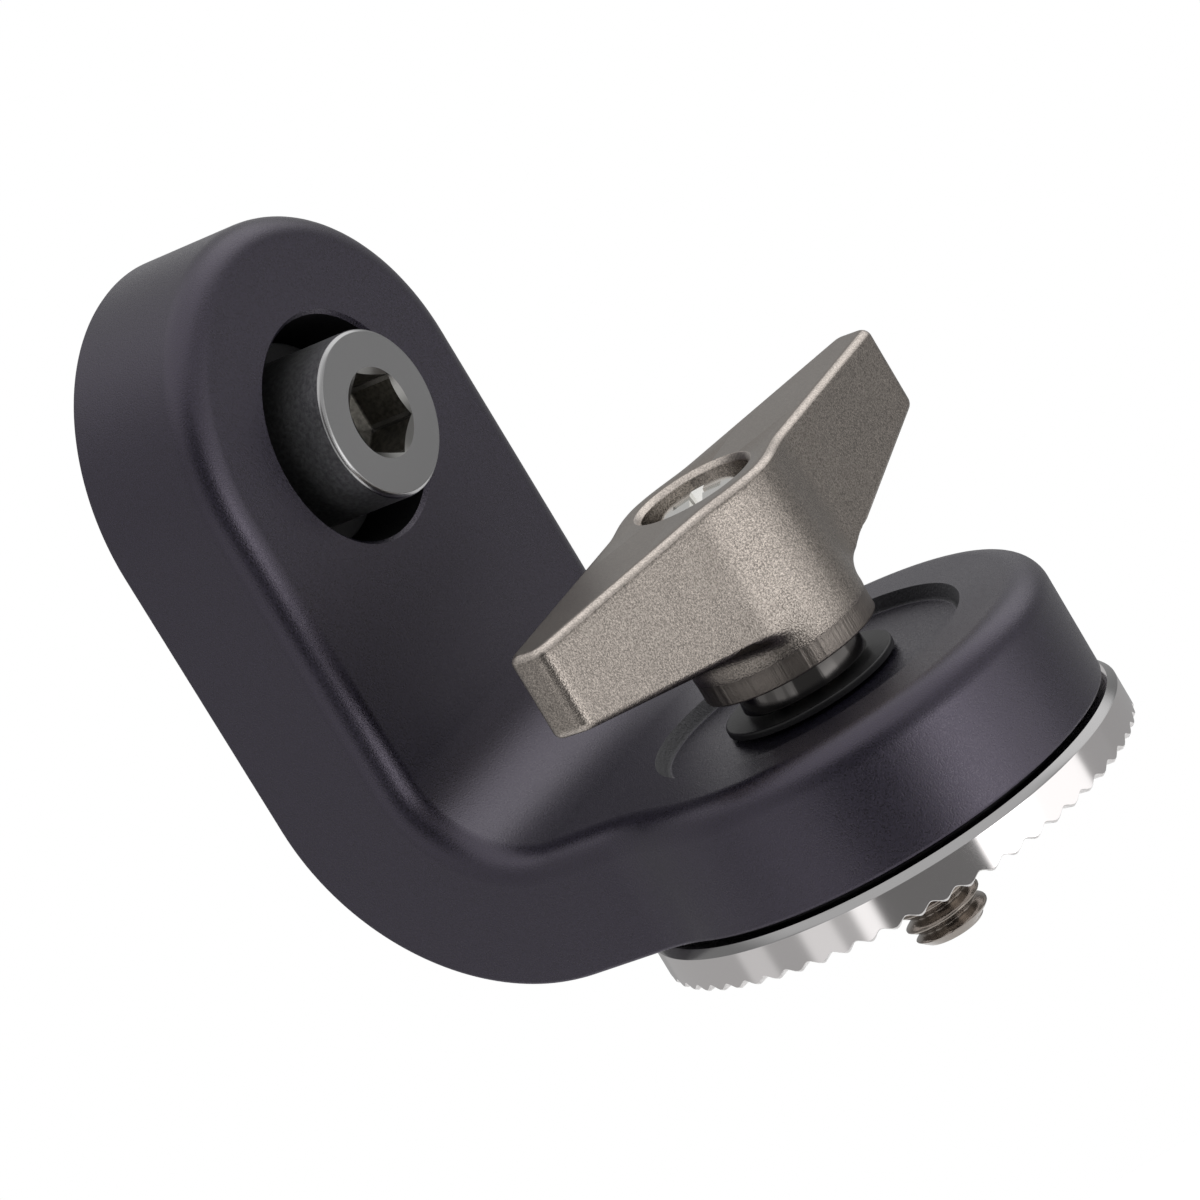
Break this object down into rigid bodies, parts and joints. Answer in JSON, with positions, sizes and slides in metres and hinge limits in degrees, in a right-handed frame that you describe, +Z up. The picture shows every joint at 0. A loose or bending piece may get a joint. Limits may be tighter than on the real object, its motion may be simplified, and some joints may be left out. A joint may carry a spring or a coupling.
{
  "type": "swivel bracket",
  "caption": "Bent metal grip bracket with a toothed rosette, a captive quarter-inch stud worked by a lift-to-index T lever, and a sprung socket cap screw for an arm.",
  "frame": {"origin": "on the axis of the stud and the rosette, in the plane of the rosette's tooth tips", "axes": "+Z up along the stud axis from the rosette to the lever, +X from the bend toward the round end, Y across the arm"},
  "size_m": [0.0645, 0.0478, 0.0691],
  "materials": {
    "arm_black": "bead-blasted black anodised",
    "ring_aluminium": "turned and polished",
    "spacer_black": "matt black shim",
    "bush_black": "matt black bearing plastic",
    "lever_cast": "cast, warm titanium-coloured coat",
    "cap_steel": "satin nickel plate",
    "sleeve_bronze": "plain bearing metal",
    "retainer_black": "matt black washer",
    "small_steel": "nickel-plated steel"
  },
  "bodies": {
    "bracket": {"bracket_arm": "arm_black", "rosette_ring": "ring_aluminium", "rosette_spacer": "spacer_black", "rosette_screw_1": "small_steel", "rosette_screw_2": "small_steel", "rosette_screw_3": "small_steel", "rosette_screw_4": "small_steel", "dowel_pin_1": "small_steel", "dowel_pin_2": "small_steel", "guide_bush": "bush_black", "swivel_sleeve": "sleeve_bronze", "screw_retainer": "retainer_black", "cap_washer": "small_steel", "disc_spring": "small_steel"},
    "stud": {"clamp_stud": "small_steel", "lever_insert": "small_steel", "stud_clip": "small_steel", "handle_screw": "small_steel", "handle_spring": "small_steel"},
    "lever": {"t_handle": "lever_cast"},
    "cap": {"cap_screw": "cap_steel"}
  },
  "joints": [
    {"name": "stud_turn", "type": "hinge", "parent": "bracket", "child": "stud", "pos_m": [0, 0, 0.014], "axis": [0, 0, 1], "continuous": true},
    {"name": "lever_lift", "type": "slide", "parent": "stud", "child": "lever", "axis": [0, 0, 1], "range_m": [0, 0.0022], "stiffness_N_per_m": 800, "springref_m": -0.0015, "deforming": ["handle_spring"]},
    {"name": "cap_turn", "type": "hinge", "parent": "bracket", "child": "cap", "pos_m": [-0.0244, 0, 0.0445], "axis": [1, 0, 0], "continuous": true}
  ]
}
